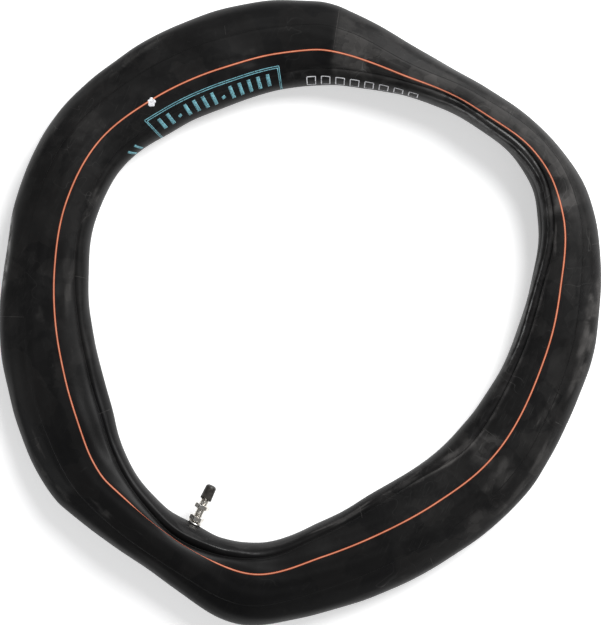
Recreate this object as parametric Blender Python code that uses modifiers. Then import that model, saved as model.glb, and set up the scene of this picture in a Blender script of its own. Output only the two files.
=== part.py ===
"""A motorcycle inner tube, part inflated and lying flat, with its clamp-in metal valve.

The ring lies on the plane z = 0, with its bounding box centred on the origin in x and y. The valve stands in
the ring's inner wall on the -Y side and points along +Y, towards the ring's middle. Metres, +Z up.
"""

import math

import bmesh
import bpy
from mathutils import Matrix

MM = 0.001
GAP = 0.3 * MM  # the space left between pieces that touch

# How the ring lies: the section's middle radius and half its width, in mm, every 15 degrees from +X.
LIE = (
    (218.5, 38.0), (225.0, 36.0), (235.5, 32.0), (250.0, 25.5), (252.5, 18.0), (241.5, 17.5),
    (234.0, 21.5), (236.5, 31.5), (238.0, 39.5), (236.5, 42.0), (238.0, 41.0), (242.0, 38.0),
    (238.0, 36.5), (231.0, 37.5), (228.5, 41.0), (229.5, 43.0), (237.0, 39.0), (239.5, 29.5),
    (242.5, 29.0), (246.5, 36.0), (229.0, 40.0), (217.5, 42.5), (214.5, 42.0), (217.0, 41.0),
)
FULL_HALF_HEIGHT = 31.5 * MM
SLUMP = 0.255  # the wider the section is pressed, the flatter it lies: half heights run from 27 to 20.5 mm
WALL = 2.0 * MM  # the rubber's thickness
RING_SEGMENTS = 80
SECTION_SEGMENTS = 20
FLAT_ANGLE = math.radians(72)  # below this the section is pressed flat on the floor

VALVE_ANGLE = math.radians(268.35)  # where the valve goes through the ring
TURN_STEPS = 32

# Heights along the valve, measured from the tube's skin.
PAD_THICKNESS = 1.5 * MM
PAD_HALF_LENGTH = 27.0 * MM
PAD_HALF_WIDTH = 19.0 * MM
PAD_REACH = 28.0 * MM  # how deep the curved wall falls away under the pad's ends
PAD_BASE = GAP
PAD_TOP = PAD_BASE + PAD_THICKNESS
WASHER_BASE = PAD_TOP + GAP
WASHER_THICKNESS = 1.5 * MM
WASHER_RADIUS = 6.7 * MM
WASHER_TOP = WASHER_BASE + WASHER_THICKNESS
BASE_NUT_BASE = WASHER_TOP + 0.5 * MM  # the washer is curved, so its crown needs the room
BASE_NUT_HEIGHT = 4.6 * MM
RIM_NUT_BASE = 15.8 * MM
RIM_NUT_HEIGHT = 4.2 * MM
NUT_ACROSS_FLATS = 12.0 * MM
CAP_BASE = 25.0 * MM
CAP_LENGTH = 13.9 * MM
CAP_END_THICKNESS = 2.5 * MM
CAP_RADIUS = 5.2 * MM
CAP_SHOULDER_RADIUS = 4.85 * MM
CAP_ROUNDING = 2.0 * MM
CAP_SEAL_THICKNESS = 1.2 * MM

STEM_RADIUS = 3.85 * MM  # 7.7 mm over the thread
STEM_CHAMFER = 0.5 * MM
THREAD_CLEARANCE_RADIUS = STEM_RADIUS + GAP
CAP_INNER_TOP = CAP_BASE + CAP_LENGTH - CAP_END_THICKNESS
STEM_MOUTH = CAP_INNER_TOP - GAP - CAP_SEAL_THICKNESS - GAP
FOOT_RADIUS = 8.5 * MM
FOOT_TOP = -WALL - GAP - 0.2 * MM  # the foot's face, under the wall
FOOT_DROP = 2.2 * MM  # how far the foot's rim falls away, to follow the curved wall
FOOT_EDGE = 1.0 * MM

# The valve core, as radii and as depths below the stem's mouth.
EAR_WIDTH = 1.8 * MM
FLAT_SIDES = (2.0 * MM, 6.0 * MM, 2.4 * MM)  # what is cut away beside each ear
FLAT_DEPTH = 1.6 * MM
CORE_BORE_RADIUS = 2.9 * MM
CORE_BORE_DEPTH = 11.2 * MM
SEAT_DEPTH = 11.8 * MM
AIR_BORE_RADIUS = 2.3 * MM
SPRING_RADIUS = 1.0 * MM
SPRING_WIRE_RADIUS = 0.13 * MM
SPRING_TURNS = 7
SPRING_POINTS_PER_TURN = 10
SPRING_TOP_DEPTH = 8.95 * MM
SPRING_END_DEPTH = 12.0 * MM


def clear_scene():
    for thing in list(bpy.data.objects):
        bpy.data.objects.remove(thing, do_unlink=True)


def new_collection(name):
    collection = bpy.data.collections.new(name)
    bpy.context.scene.collection.children.link(collection)
    return collection


def put_in(thing, collection):
    for old in list(thing.users_collection):
        old.objects.unlink(thing)
    collection.objects.link(thing)
    return thing


def new_material(name, colour, roughness, metallic=0.0):
    material = bpy.data.materials.new(name)
    material.use_nodes = True
    shader = material.node_tree.nodes["Principled BSDF"]
    shader.inputs["Base Color"].default_value = (*colour, 1.0)
    shader.inputs["Roughness"].default_value = roughness
    shader.inputs["Metallic"].default_value = metallic
    return material


def smooth_value(values, turn):
    """The value at a part of a turn, on a closed Catmull-Rom curve through evenly spaced values."""
    place = turn % 1.0 * len(values)
    first = int(place)
    t = place - first
    before, a, b, after = (values[(first + k) % len(values)] for k in (-1, 0, 1, 2))
    cubic = 3 * (a - b) + after - before
    square = 2 * before - 5 * a + 4 * b - after
    return a + 0.5 * t * (b - before + t * (square + t * cubic))


def section_at(angle):
    """The section's middle radius, half width and half height at an angle round the ring."""
    turn = angle / (2 * math.pi)
    radius = smooth_value([middle for middle, _ in LIE], turn) * MM
    half_width = smooth_value([half for _, half in LIE], turn) * MM
    return radius, half_width, FULL_HALF_HEIGHT - SLUMP * half_width


def raw_skin_point(angle, around, offset):
    """A point of the skin before the ring is centred. around is 0 at the outer edge and pi / 2 on top."""
    radius, half_width, half_height = section_at(angle)
    floor = half_height * math.sin(FLAT_ANGLE)
    out = radius + (half_width + offset) * math.cos(around)
    up = max((half_height + offset) * math.sin(around), -floor - offset)
    return out * math.cos(angle), out * math.sin(angle), up + floor


def ring_centre():
    """The middle of the outline's bounding box, read at the mesh's own ring angles."""
    angles = [2 * math.pi * k / RING_SEGMENTS for k in range(RING_SEGMENTS)]
    outline = [raw_skin_point(angle, 0.0, 0.0) for angle in angles]
    return [(min(p[k] for p in outline) + max(p[k] for p in outline)) / 2 for k in (0, 1)]


CENTRE_X, CENTRE_Y = ring_centre()


def skin_point(angle, around, offset=0.0):
    x, y, z = raw_skin_point(angle, around, offset)
    return x - CENTRE_X, y - CENTRE_Y, z


def ring_shape(name, collection, offset=0.0):
    """The tube's closed outer surface, moved outwards by the offset: a torus whose sections are reshaped."""
    bpy.ops.mesh.primitive_torus_add(
        major_segments=RING_SEGMENTS,
        minor_segments=SECTION_SEGMENTS,
        major_radius=1.0,
        minor_radius=0.25,
    )
    ring = put_in(bpy.context.object, collection)
    ring.name = ring.data.name = name
    for vertex in ring.data.vertices:
        x, y, z = vertex.co
        vertex.co = skin_point(math.atan2(y, x), math.atan2(z, math.hypot(x, y) - 1.0), offset)
    ring.data.shade_smooth()
    return ring


def new_object(name, mesh, collection, parent=None):
    thing = bpy.data.objects.new(name, mesh)
    collection.objects.link(thing)
    thing.parent = parent
    return thing


def turned(name, profile, collection, parent):
    """A solid turned about the parent's Z axis. The profile's (radius, height) points run down the outside.

    It starts and ends on the axis, or, for a piece with a hole through it, runs on up the inside and closes.
    """
    mesh = bpy.data.meshes.new(name)
    edges = [(k, k + 1) for k in range(len(profile) - 1)]
    if profile[-1][0] > 0:
        edges.append((len(profile) - 1, 0))
    mesh.from_pydata([(radius, 0.0, height) for radius, height in profile], edges, [])
    thing = new_object(name, mesh, collection, parent)
    screw = thing.modifiers.new("turn", "SCREW")
    screw.steps = screw.render_steps = TURN_STEPS
    screw.use_merge_vertices = True
    screw.merge_threshold = 0.00001
    screw.use_smooth_shade = True
    return thing


def make_cutter(thing):
    thing.hide_render = True
    thing.display_type = "WIRE"
    return thing


def rod_cutter(name, radius_x, radius_y, low, high, cutters, axis):
    """An upright elliptical rod about the valve's axis, from one height to another."""
    mesh = bpy.data.meshes.new(name)
    shape = bmesh.new()
    bmesh.ops.create_cone(
        shape,
        cap_ends=True,
        segments=TURN_STEPS,
        radius1=1.0,
        radius2=1.0,
        depth=high - low,
    )
    bmesh.ops.scale(shape, vec=(radius_x, radius_y, 1.0), verts=shape.verts)
    bmesh.ops.translate(shape, vec=(0.0, 0.0, (low + high) / 2), verts=shape.verts)
    shape.to_mesh(mesh)
    shape.free()
    return make_cutter(new_object(name, mesh, cutters, axis))


def box_cutter(name, sides, middle, cutters, axis):
    mesh = bpy.data.meshes.new(name)
    shape = bmesh.new()
    bmesh.ops.create_cube(shape, size=1.0)
    bmesh.ops.scale(shape, vec=sides, verts=shape.verts)
    bmesh.ops.translate(shape, vec=middle, verts=shape.verts)
    shape.to_mesh(mesh)
    shape.free()
    return make_cutter(new_object(name, mesh, cutters, axis))


def boolean(thing, operation, other):
    modifier = thing.modifiers.new(f"{operation.lower()}_{other.name}", "BOOLEAN")
    modifier.operation = operation
    modifier.solver = "EXACT"
    modifier.object = other


def give(thing, material):
    thing.data.materials.append(material)
    return thing


def make_tube(parts, stem_hole, rubber):
    """The hollow ring: a reshaped torus with a wall, opened where the stem goes through."""
    tube = give(ring_shape("inner_tube", parts), rubber)
    wall = tube.modifiers.new("wall", "SOLIDIFY")
    wall.thickness = WALL
    wall.offset = -1.0
    wall.use_even_offset = True
    boolean(tube, "DIFFERENCE", stem_hole)
    return tube


def layer_on_skin(name, low, high, outline, stem_hole, parts, cutters):
    """A layer that follows the tube's skin between two offsets, inside an outline about the valve."""
    layer = ring_shape(name, parts, high)
    under = make_cutter(ring_shape(f"{name}_underside", cutters, low))
    boolean(layer, "INTERSECT", outline)
    boolean(layer, "DIFFERENCE", under)
    boolean(layer, "DIFFERENCE", stem_hole)
    return layer


def make_stem(parts, axis, metal):
    """The threaded stem, with its domed foot inside the tube and the stepped bore that holds the core."""
    foot_rim = FOOT_TOP - FOOT_DROP
    profile = [
        (STEM_RADIUS - STEM_CHAMFER, STEM_MOUTH),
        (STEM_RADIUS, STEM_MOUTH - STEM_CHAMFER),
        (STEM_RADIUS, FOOT_TOP),
        (FOOT_RADIUS, foot_rim),
        (FOOT_RADIUS, foot_rim - FOOT_EDGE),
        (AIR_BORE_RADIUS, foot_rim - FOOT_EDGE),
        (AIR_BORE_RADIUS, STEM_MOUTH - SEAT_DEPTH),
        (CORE_BORE_RADIUS, STEM_MOUTH - CORE_BORE_DEPTH),
        (CORE_BORE_RADIUS, STEM_MOUTH),
    ]
    return give(turned("valve_stem", profile, parts, axis), metal)


def make_nut(name, base, height, parts, cutters, axis, metal):
    """A hexagon nut with a flat upwards, chamfered at both ends."""
    corner = NUT_ACROSS_FLATS / math.sqrt(3)
    chamfer = corner - NUT_ACROSS_FLATS / 2
    slope = chamfer * math.tan(math.radians(30))
    mesh = bpy.data.meshes.new(name)
    shape = bmesh.new()
    bmesh.ops.create_cone(shape, cap_ends=True, segments=6, radius1=corner, radius2=corner, depth=height)
    bmesh.ops.translate(shape, vec=(0.0, 0.0, base + height / 2), verts=shape.verts)
    turn_to_corner = Matrix.Rotation(math.pi / 6, 3, "Z")
    bmesh.ops.rotate(shape, cent=(0.0, 0.0, 0.0), matrix=turn_to_corner, verts=shape.verts)
    shape.to_mesh(mesh)
    shape.free()
    nut = give(new_object(name, mesh, parts, axis), metal)
    rounding = [
        (0.0, base + height),
        (NUT_ACROSS_FLATS / 2, base + height),
        (corner, base + height - slope),
        (corner, base + slope),
        (NUT_ACROSS_FLATS / 2, base),
        (0.0, base),
    ]
    boolean(nut, "INTERSECT", make_cutter(turned(f"{name}_rounding", rounding, cutters, axis)))
    hole = rod_cutter(
        f"{name}_hole",
        THREAD_CLEARANCE_RADIUS,
        THREAD_CLEARANCE_RADIUS,
        base - MM,
        base + height + MM,
        cutters,
        axis,
    )
    boolean(nut, "DIFFERENCE", hole)
    return nut


def make_cap(parts, axis, plastic):
    """A hollow cap: a slightly tapered skirt, a rounded shoulder and a flat end."""
    top = CAP_BASE + CAP_LENGTH
    shoulder = top - CAP_ROUNDING
    middle = CAP_SHOULDER_RADIUS - CAP_ROUNDING
    turns = [math.radians(angle) for angle in (90, 70, 50, 30, 10)]
    profile = [(0.0, top)]
    profile += [(middle + CAP_ROUNDING * math.cos(a), shoulder + CAP_ROUNDING * math.sin(a)) for a in turns]
    profile += [
        (CAP_RADIUS, CAP_BASE + 0.3 * MM),
        (CAP_RADIUS - 0.2 * MM, CAP_BASE),
        (THREAD_CLEARANCE_RADIUS, CAP_BASE),
        (THREAD_CLEARANCE_RADIUS, CAP_INNER_TOP),
        (0.0, CAP_INNER_TOP),
    ]
    return give(turned("valve_cap", profile, parts, axis), plastic)


def core_profile(*points):
    """A profile from points that each give a radius and a depth below the stem's mouth, in mm."""
    return [(radius * MM, STEM_MOUTH - depth * MM) for radius, depth in points]


def core_ring(outer, inner, top_depth, end_depth):
    return core_profile((outer, top_depth), (outer, end_depth), (inner, end_depth), (inner, top_depth))


def make_cap_seal(parts, axis, rubber):
    high = CAP_INNER_TOP - GAP
    low = high - CAP_SEAL_THICKNESS
    radius = THREAD_CLEARANCE_RADIUS - GAP
    profile = [(0.0, high), (radius, high), (radius, low), (0.0, low)]
    return give(turned("cap_seal", profile, parts, axis), rubber)


def make_core_plug(parts, cutters, axis, brass):
    """The core's threaded head, with the two ears that a key turns."""
    profile = core_profile(
        (1.7, 0.9), (1.7, 2.9), (2.6, 3.2), (2.6, 6.8), (2.4, 7.0), (1.0, 7.0), (1.0, 0.9),
    )
    plug = give(turned("core_plug", profile, parts, axis), brass)
    beside_ear = (EAR_WIDTH + FLAT_SIDES[0]) / 2
    for name, x in (("left", -beside_ear), ("right", beside_ear)):
        middle = (x, 0.0, STEM_MOUTH - FLAT_DEPTH)
        flat = box_cutter(f"core_plug_flat_{name}", FLAT_SIDES, middle, cutters, axis)
        boolean(plug, "DIFFERENCE", flat)
    return plug


def make_core_barrel(parts, axis, brass):
    """The sleeve under the plug: a groove for its seal outside, and a seat for the spring inside."""
    profile = core_profile(
        (2.3, 7.3), (2.3, 8.0), (1.7, 8.0), (1.7, 11.2), (1.9, 11.2), (1.9, 13.3),
        (0.95, 13.3), (0.95, 12.3), (1.4, 12.3), (1.4, 7.3),
    )
    return give(turned("core_barrel", profile, parts, axis), brass)


def make_core_pin(parts, axis, brass):
    """The plunger: a rod with a collar above the spring and a staked head under the cup."""
    profile = core_profile(
        (0.0, 0.5), (0.65, 0.7), (0.65, 8.0), (1.1, 8.0), (1.1, 8.6), (0.5, 8.6),
        (0.5, 15.6), (0.9, 15.6), (0.9, 16.1), (0.0, 16.3),
    )
    return give(turned("core_pin", profile, parts, axis), brass)


def make_core_cup(parts, axis, brass):
    """The cup under the barrel, which holds the seal that the spring pulls shut."""
    profile = core_profile(
        (1.95, 13.9), (1.95, 15.3), (0.8, 15.3), (0.8, 14.8), (1.6, 14.8), (1.6, 13.9),
    )
    return give(turned("core_cup", profile, parts, axis), brass)


def make_core_spring(parts, axis, steel):
    """The closing spring, a round wire coiled about the pin."""
    curve = bpy.data.curves.new("core_spring", "CURVE")
    curve.dimensions = "3D"
    curve.bevel_depth = SPRING_WIRE_RADIUS
    curve.bevel_resolution = 2
    curve.use_fill_caps = True
    count = SPRING_TURNS * SPRING_POINTS_PER_TURN + 1
    wire = curve.splines.new("POLY")
    wire.points.add(count - 1)
    for k, point in enumerate(wire.points):
        turn = 2 * math.pi * k / SPRING_POINTS_PER_TURN
        depth = SPRING_TOP_DEPTH + (SPRING_END_DEPTH - SPRING_TOP_DEPTH) * k / (count - 1)
        x, y = SPRING_RADIUS * math.cos(turn), SPRING_RADIUS * math.sin(turn)
        point.co = (x, y, STEM_MOUTH - depth, 1.0)
    return give(new_object("core_spring", curve, parts, axis), steel)


def make_valve_axis(parts):
    """An empty on the tube's skin, whose Z runs out along the valve. It points along the world's +Y."""
    axis = bpy.data.objects.new("valve_axis", None)
    parts.objects.link(axis)
    axis.location = skin_point(VALVE_ANGLE, math.pi)
    axis.rotation_euler = (-math.pi / 2, 0.0, 0.0)
    return axis


def main():
    clear_scene()
    parts = new_collection("motorcycle_inner_tube")
    cutters = new_collection("cutters")

    butyl = new_material("butyl_rubber", (0.016, 0.015, 0.015), 0.42)
    patch_rubber = new_material("patch_rubber", (0.020, 0.019, 0.018), 0.55)
    nickel = new_material("nickel_plate", (0.80, 0.78, 0.75), 0.18, 1.0)
    brass = new_material("brass", (0.72, 0.55, 0.27), 0.30, 1.0)
    steel = new_material("spring_steel", (0.55, 0.55, 0.56), 0.30, 1.0)
    plastic = new_material("cap_plastic", (0.034, 0.031, 0.027), 0.45)
    seal_rubber = new_material("seal_rubber", (0.03, 0.03, 0.03), 0.6)

    axis = make_valve_axis(parts)
    stem_hole = rod_cutter(
        "stem_hole", THREAD_CLEARANCE_RADIUS, THREAD_CLEARANCE_RADIUS, -8 * MM, 8 * MM, cutters, axis
    )
    pad_outline = rod_cutter(
        "pad_outline", PAD_HALF_LENGTH, PAD_HALF_WIDTH, -PAD_REACH, 8 * MM, cutters, axis
    )
    washer_outline = rod_cutter(
        "washer_outline", WASHER_RADIUS, WASHER_RADIUS, -5 * MM, 8 * MM, cutters, axis
    )

    make_tube(parts, stem_hole, butyl)
    patch = layer_on_skin("valve_patch", PAD_BASE, PAD_TOP, pad_outline, stem_hole, parts, cutters)
    give(patch, patch_rubber)
    washer = layer_on_skin(
        "bridge_washer", WASHER_BASE, WASHER_TOP, washer_outline, stem_hole, parts, cutters
    )
    give(washer, nickel)
    make_stem(parts, axis, nickel)
    make_nut("base_nut", BASE_NUT_BASE, BASE_NUT_HEIGHT, parts, cutters, axis, nickel)
    make_nut("rim_nut", RIM_NUT_BASE, RIM_NUT_HEIGHT, parts, cutters, axis, nickel)
    make_cap(parts, axis, plastic)
    make_cap_seal(parts, axis, seal_rubber)

    make_core_plug(parts, cutters, axis, brass)
    make_core_barrel(parts, axis, brass)
    give(turned("core_barrel_seal", core_ring(2.6, 2.0, 8.3, 10.9), parts, axis), seal_rubber)
    make_core_pin(parts, axis, brass)
    make_core_cup(parts, axis, brass)
    give(turned("core_cup_seal", core_ring(1.3, 0.8, 13.6, 14.5), parts, axis), seal_rubber)
    make_core_spring(parts, axis, steel)


main()
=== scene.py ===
"""The looks of a motorcycle inner tube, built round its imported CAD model.

The tube lies flat on a pale floor, with the middle of its bounding box over the origin and the valve pointing
along +Y from the inner wall. Metres, +Z up. Angles go round the ring from +X. "around" goes round the rubber's
section: 0 at the ring's outer edge, a quarter turn on top and half a turn at the inner edge. A share is a
place across the ring: 0 at its outer edge and 1 at its inner edge.
"""

import math

import bpy
import numpy as np
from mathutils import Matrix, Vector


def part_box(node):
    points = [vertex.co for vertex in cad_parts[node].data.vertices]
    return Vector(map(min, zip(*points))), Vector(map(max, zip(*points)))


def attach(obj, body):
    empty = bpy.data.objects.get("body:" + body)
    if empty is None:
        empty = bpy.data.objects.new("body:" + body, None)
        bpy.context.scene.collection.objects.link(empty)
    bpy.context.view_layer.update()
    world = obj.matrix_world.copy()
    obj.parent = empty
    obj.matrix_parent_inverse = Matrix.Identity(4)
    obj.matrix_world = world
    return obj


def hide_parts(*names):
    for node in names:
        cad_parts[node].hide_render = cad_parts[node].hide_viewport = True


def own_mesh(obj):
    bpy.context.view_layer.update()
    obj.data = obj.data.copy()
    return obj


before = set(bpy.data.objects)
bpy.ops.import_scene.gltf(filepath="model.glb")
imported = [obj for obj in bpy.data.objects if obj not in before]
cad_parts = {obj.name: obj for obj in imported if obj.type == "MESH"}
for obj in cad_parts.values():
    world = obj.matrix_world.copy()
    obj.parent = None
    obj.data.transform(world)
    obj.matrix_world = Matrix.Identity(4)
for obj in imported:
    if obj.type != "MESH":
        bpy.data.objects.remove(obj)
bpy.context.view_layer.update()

MM = 0.001
TAU = 2 * math.pi

# How the ring lies: the section's middle radius and half its width, in mm, every 15 degrees from +X.
LIE = (
    (218.5, 38.0), (225.0, 36.0), (235.5, 32.0), (250.0, 25.5), (252.5, 18.0), (241.5, 17.5),
    (234.0, 21.5), (236.5, 31.5), (238.0, 39.5), (236.5, 42.0), (238.0, 41.0), (242.0, 38.0),
    (238.0, 36.5), (231.0, 37.5), (228.5, 41.0), (229.5, 43.0), (237.0, 39.0), (239.5, 29.5),
    (242.5, 29.0), (246.5, 36.0), (229.0, 40.0), (217.5, 42.5), (214.5, 42.0), (217.0, 41.0),
)
FULL_HALF_HEIGHT = 31.5 * MM
SLUMP = 0.255  # the wider the section is pressed, the flatter it lies
FLAT_ANGLE = math.radians(72)  # below this the section is pressed flat on the floor
CAD_RING_SEGMENTS = 80
VALVE_ANGLE = 268.35  # degrees

# Lines along the ring, as shares of the width from the outer edge, every 15 degrees from +X.
ORANGE_LINE = (
    0.562, 0.585, 0.61, 0.595, 0.63, 0.68, 0.68, 0.62, 0.63, 0.627, 0.618, 0.62,
    0.632, 0.636, 0.642, 0.642, 0.646, 0.715, 0.69, 0.652, 0.638, 0.604, 0.585, 0.562,
)
MOULD_LINE = (
    0.28, 0.29, 0.33, 0.29, 0.27, 0.34, 0.42, 0.32, 0.33, 0.32, 0.31, 0.30,
    0.29, 0.29, 0.29, 0.29, 0.29, 0.28, 0.28, 0.28, 0.28, 0.28, 0.27, 0.27,
)
CREASE = (
    0.86, 0.88, 0.87, 0.78, 0.745, 0.76, 0.78, 0.82, 0.85, 0.85, 0.86, 0.87,
    0.87, 0.88, 0.89, 0.88, 0.885, 0.86, 0.80, 0.85, 0.88, 0.89, 0.90, 0.84,
)
CREASE_DEPTH = (  # mm
    1.4, 1.6, 2.0, 2.3, 2.3, 2.2, 1.8, 1.1, 0.8, 0.8, 0.9, 1.2,
    1.5, 1.7, 1.8, 1.8, 2.0, 2.4, 2.4, 2.0, 1.6, 1.4, 1.5, 1.6,
)
CREASE_WIDTH = 1.15 * MM
SECOND_RIDGE = -2.3 * MM  # how far it runs from the crease, on the outer side

# Ridges across the ring: degrees, mm high and mm along the ring.
CROSS_RIDGES = ((107.7, 1.5, 16), (243.4, 1.3, 14), (285.0, 0.9, 20), (19.0, 0.5, 16))

RING_STEPS = 640
SECTION_STEPS = 148


# ---------------------------------------------------------------- the rubber's shape

def closed_curve(values, angle):
    """The value at each angle on a closed Catmull-Rom curve through evenly spaced values."""
    values = np.asarray(values, float)
    place = np.mod(angle / TAU, 1.0) * len(values)
    first = np.floor(place).astype(int)
    t = place - first
    before, a, b, after = (values[(first + k) % len(values)] for k in (-1, 0, 1, 2))
    cubic = 3 * (a - b) + after - before
    square = 2 * before - 5 * a + 4 * b - after
    return a + 0.5 * t * (b - before + t * (square + t * cubic))


def section_at(angle):
    """The section's middle radius, half width and half height at each angle."""
    radius = closed_curve([middle for middle, _ in LIE], angle) * MM
    half_width = closed_curve([half for _, half in LIE], angle) * MM
    return radius, half_width, FULL_HALF_HEIGHT - SLUMP * half_width


def ring_centre():
    """The middle of the outline's bounding box, read at the CAD mesh's own ring angles."""
    angle = np.arange(CAD_RING_SEGMENTS) * TAU / CAD_RING_SEGMENTS
    radius, half_width, _ = section_at(angle)
    edge = np.stack([np.cos(angle), np.sin(angle)]) * (radius + half_width)
    return (edge.min(1) + edge.max(1)) / 2


CENTRE_X, CENTRE_Y = ring_centre()


def turned_from(angle, place):
    """How far each angle is from a place, between minus half a turn and half a turn."""
    return np.mod(angle - place + math.pi, TAU) - math.pi


def hump(distance, middle, reach):
    """1 at the middle, falling smoothly to 0 on both sides over a few times the reach."""
    return np.exp(-(((distance - middle) / reach) ** 2))


def peak(distance, reach, bluntness):
    """1 at no distance, falling to 0 on both sides. The less blunt it is, the tighter the bend at its top."""
    return np.exp(math.sqrt(bluntness) - np.sqrt((distance / reach) ** 2 + bluntness))


def soft_step(value):
    """0 well below zero, rising smoothly to 1 well above it."""
    return 1 / (1 + np.exp(-np.maximum(value, -500)))


def near(angle, degrees, reach):
    """A hump at that many degrees. The reach is in degrees too."""
    return hump(turned_from(angle, math.radians(degrees)), 0.0, math.radians(reach))


def corner(angle, degrees, reach):
    """A peak at that many degrees. The reach is in degrees too."""
    return peak(turned_from(angle, math.radians(degrees)), math.radians(reach), 0.3)


def stretch(angle, start, end, soft=4.0):
    """1 between two angles in degrees, going counter-clockwise, with soft ends."""
    half = math.radians((end - start) % 360) / 2
    off = np.abs(turned_from(angle, math.radians(start) + half))
    return soft_step((half - off) / math.radians(soft) * 4)


# Where the ring's outline departs from that lie: place and reach in degrees, and mm outwards.
OUTER_CORNERS = ((110.8, 5.0, 5.3), (245.0, 3.0, 0.2))
OUTER_BENDS = (
    (280.0, 8.0, 2.6), (356.0, 9.0, 2.4), (225.0, 6.0, 1.8), (32.0, 8.0, 1.6), (263.0, 6.0, -2.0),
    (130.0, 5.0, -1.4),
)
INNER_BENDS = (
    (68.0, 7.0, -2.7), (22.0, 8.0, 1.5), (53.5, 5.0, 1.4), (234.0, 6.0, -1.5), (102.0, 6.0, -1.1),
)


def bends(angle, rows, shape=near):
    """How far outwards those rows move the outline."""
    return sum(height * MM * shape(angle, degrees, reach) for degrees, reach, height in rows)


def orange_at(angle):
    """The orange line's place as a share of the width, with its tight bends."""
    share = closed_curve(ORANGE_LINE, angle)
    return share - 0.030 * corner(angle, 245.6, 4.2) + 0.012 * near(angle, 278.0, 6)


def crease_at(angle):
    """The crease's place as a share of the width. It swings out round the valve."""
    return closed_curve(CREASE, angle) - 0.05 * near(angle, 265.0, 6.5)


def crease_depth_at(angle):
    """The crease's depth, which is greatest at the valve."""
    return (closed_curve(CREASE_DEPTH, angle) + 2.2 * near(angle, 268.5, 9.0)) * MM


def share_at(around):
    """The share of the width at a place round the section."""
    return (1 - np.cos(around)) / 2


def around_at(share):
    """Where on the section's upper half a share of the width lies."""
    return np.arccos(1 - 2 * np.asarray(share, float))


def make_waves(count, shortest, longest, seed):
    """Plane waves in random directions, whose heights grow with their lengths."""
    random = np.random.default_rng(seed)
    length = np.exp(random.uniform(math.log(shortest), math.log(longest), count))
    direction = random.normal(size=(count, 3))
    direction /= np.linalg.norm(direction, axis=1)[:, None]
    return direction * (TAU / length)[:, None], random.uniform(0, TAU, count), length


SWELL_SLOPE = 0.0022  # each wave's height for its length
SWELL = make_waves(26, 26 * MM, 150 * MM, 11)
LENGTHWISE = np.random.default_rng(5)
WRINKLES = [  # waves along the ring, waves across it and where each starts
    (LENGTHWISE.integers(1, 16), TAU / LENGTHWISE.uniform(9, 26) / MM, LENGTHWISE.uniform(0, TAU))
    for _ in range(14)
]
WRINKLE_HEIGHT = 0.045  # mm


def undulation(points):
    """The rubber's slow unevenness."""
    waves, phase, length = SWELL
    total = np.zeros(points.shape[:-1])
    for wave, start, size in zip(waves, phase, length):
        total += np.sin(points @ wave + start) * size
    return total * SWELL_SLOPE


def wrinkles(angle, across):
    """Faint corrugations that run along the ring."""
    total = np.zeros(np.broadcast(angle, across).shape)
    for turns, pitch, start in WRINKLES:
        total += np.sin(turns * angle + pitch * across + start)
    return total * WRINKLE_HEIGHT * MM


def relief(angle, around, base):
    """How far the skin stands out from the smooth ring, at each point."""
    radius, half_width, _ = section_at(angle)
    share = share_at(around)
    across = share * 2 * half_width
    upper = soft_step(np.sin(around) * 14)
    crease = crease_at(angle)
    from_crease = across - crease * 2 * half_width
    band = np.clip((share - crease) / (1 - crease), 0, 1)  # 0 at the crease, 1 at the inner edge
    depth = crease_depth_at(angle) * (0.35 + 0.65 * upper)

    # the crease, wider at the valve, with the band swelling beside it
    out = -depth * peak(from_crease, CREASE_WIDTH * (1 + 0.5 * near(angle, 268.5, 9)), 0.08)
    out += depth * 0.45 * np.sin(math.pi * band)
    # beside the valve the band rolls over into a lip
    out += 1.6 * MM * near(angle, 269.5, 9) * upper * hump(from_crease, 3.2 * MM, 1.9 * MM)
    # and over one stretch a second ridge runs along the crease's outer side
    out += 0.7 * MM * stretch(angle, 327, 32, 5) * upper * hump(from_crease, SECOND_RIDGE, 1.3 * MM)
    # several folds lie side by side where the ring is narrow
    folds = stretch(angle, 14, 84, 8) * upper
    inside = np.clip(from_crease / (1.5 * MM), 0, 1) * np.sin(math.pi * band) ** 0.4
    pitch = (4.6 + 0.5 * np.sin(5 * angle + 1)) * MM
    out += folds * inside * 0.9 * MM * (0.5 - np.abs(np.cos(math.pi * from_crease / pitch)) ** 6)
    # a faint step along the mould line
    from_mould = across - closed_curve(MOULD_LINE, angle) * 2 * half_width
    out += 0.25 * MM * upper * np.tanh(from_mould / (0.8 * MM))
    # the ridges across the ring stop short of the crease
    flank = 1 - np.clip(from_crease / (4 * MM) + 1, 0, 1)
    for degrees, height, reach in CROSS_RIDGES:
        off = turned_from(angle, math.radians(degrees)) * radius
        out += height * MM * np.exp(-np.sqrt((off / (reach * MM)) ** 2 + 0.01)) * upper * flank
    # the rubber is even where the valve's pad and washer lie on it
    calm = near(angle, VALVE_ANGLE, 5) * hump(np.mod(around, TAU), math.pi, 0.7)
    out -= (undulation(base) + wrinkles(angle, across)) * (1 - calm)
    # the underside stays flat where it rests
    resting = np.clip(base[..., 2] / (7 * MM), 0, 1)
    return out * resting * resting * (3 - 2 * resting)


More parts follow.
